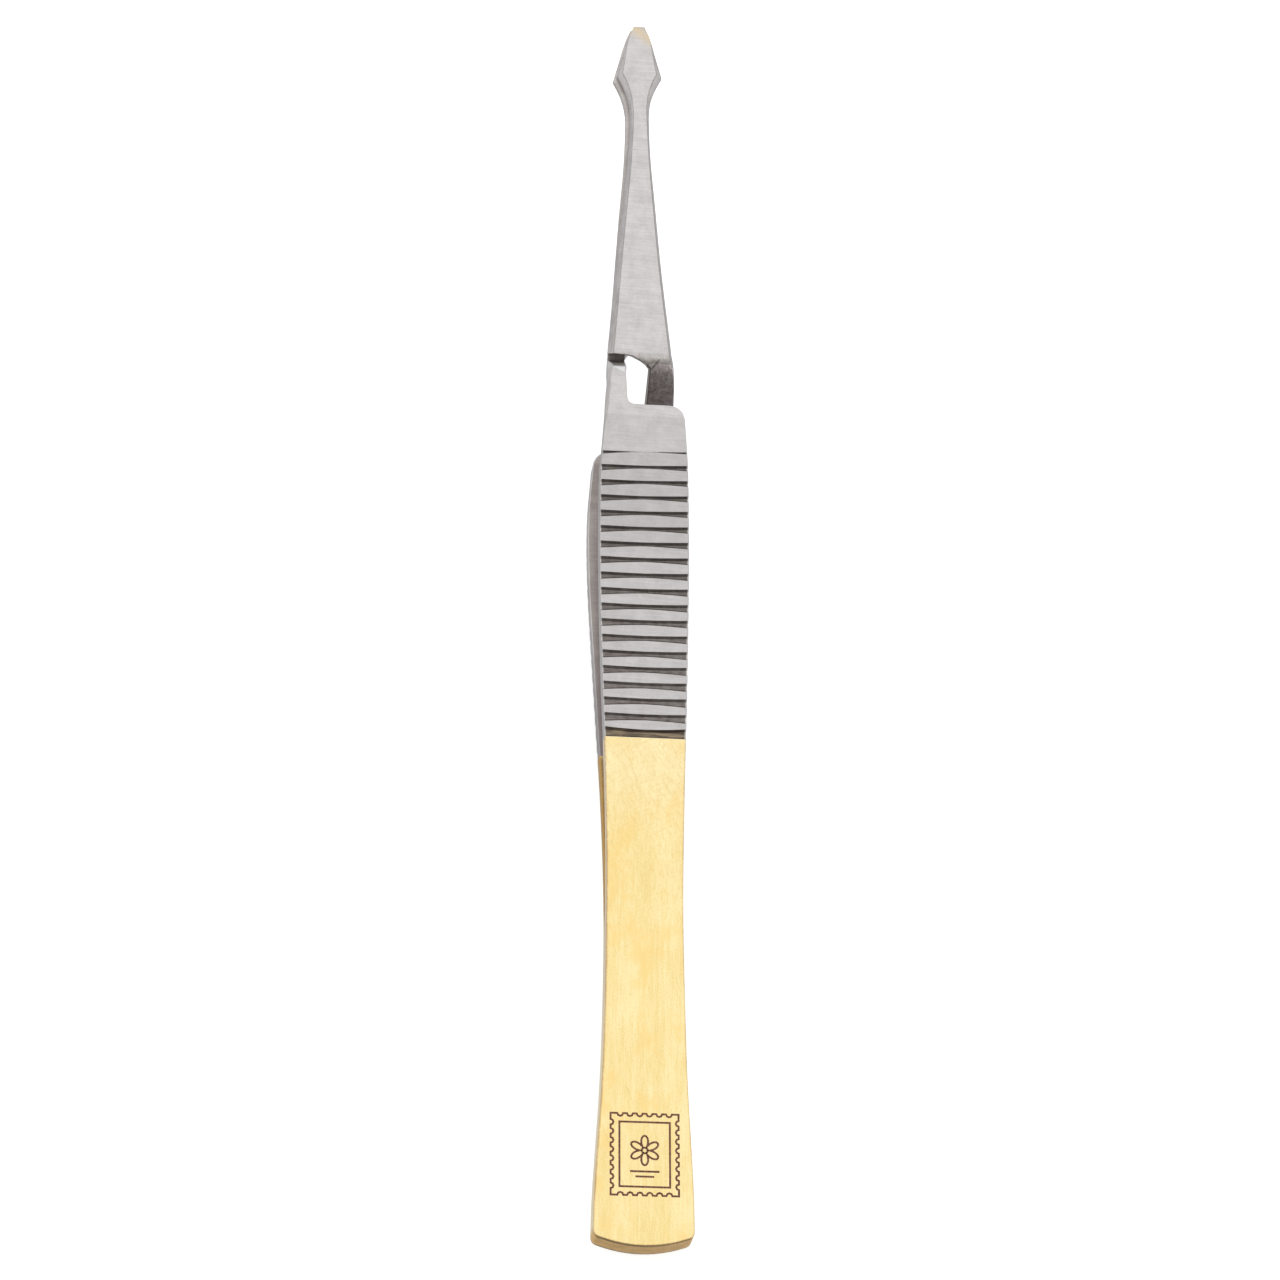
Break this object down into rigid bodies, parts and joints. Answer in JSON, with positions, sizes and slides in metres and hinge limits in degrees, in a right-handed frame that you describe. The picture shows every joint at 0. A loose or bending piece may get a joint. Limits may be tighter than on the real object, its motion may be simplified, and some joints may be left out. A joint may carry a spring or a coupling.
{
  "type": "stamp tongs",
  "caption": "Self-closing stamp tongs with crossed arms, ridged grips, a plated handle and flat spade tips; squeezing the grips opens the tips.",
  "frame": {"origin": "on the surface that the tongs lie on, at the lowest point of the lower grip, under the middle of the length and width", "axes": "+Y from the heel to the tips, +X across the width, +Z out of the upper arm's face"},
  "size_m": [0.0086, 0.12, 0.0118],
  "materials": {
    "gold_plate": "thin bright gold plating over steel, finely brushed along the handle, with hairline scratches",
    "bare_steel": "satin ground spring steel with fine cross brushing and dark grooves",
    "weld_steel": "fused weld metal, out of sight"
  },
  "bodies": {
    "heel": {"upper_heel_leaf": "gold_plate", "lower_heel_leaf": "gold_plate", "heel_weld_nugget_1": "weld_steel", "heel_weld_nugget_2": "weld_steel", "heel_weld_nugget_3": "weld_steel"},
    "upper_arm": {"upper_spring_leaf": "gold_plate", "upper_grip": "bare_steel", "upper_neck": "bare_steel", "upper_blade": "bare_steel"},
    "lower_arm": {"lower_spring_leaf": "gold_plate", "lower_grip": "bare_steel", "lower_neck": "bare_steel", "lower_blade": "bare_steel"}
  },
  "joints": [
    {"name": "upper_arm_flex", "type": "hinge", "parent": "heel", "child": "upper_arm", "pos_m": [0, -0.024, 0.00646], "axis": [-1, 0, 0], "range_deg": [0, 5.3], "stiffness_Nm_per_rad": 2.5, "springref_deg": -2.01},
    {"name": "lower_arm_flex", "type": "hinge", "parent": "heel", "child": "lower_arm", "pos_m": [0, -0.024, 0.0053], "axis": [1, 0, 0], "range_deg": [0, 5.3], "stiffness_Nm_per_rad": 2.5, "springref_deg": -2.01}
  ],
  "couplings": [
    {"joint": "lower_arm_flex", "follows": "upper_arm_flex", "ratio": 1}
  ]
}
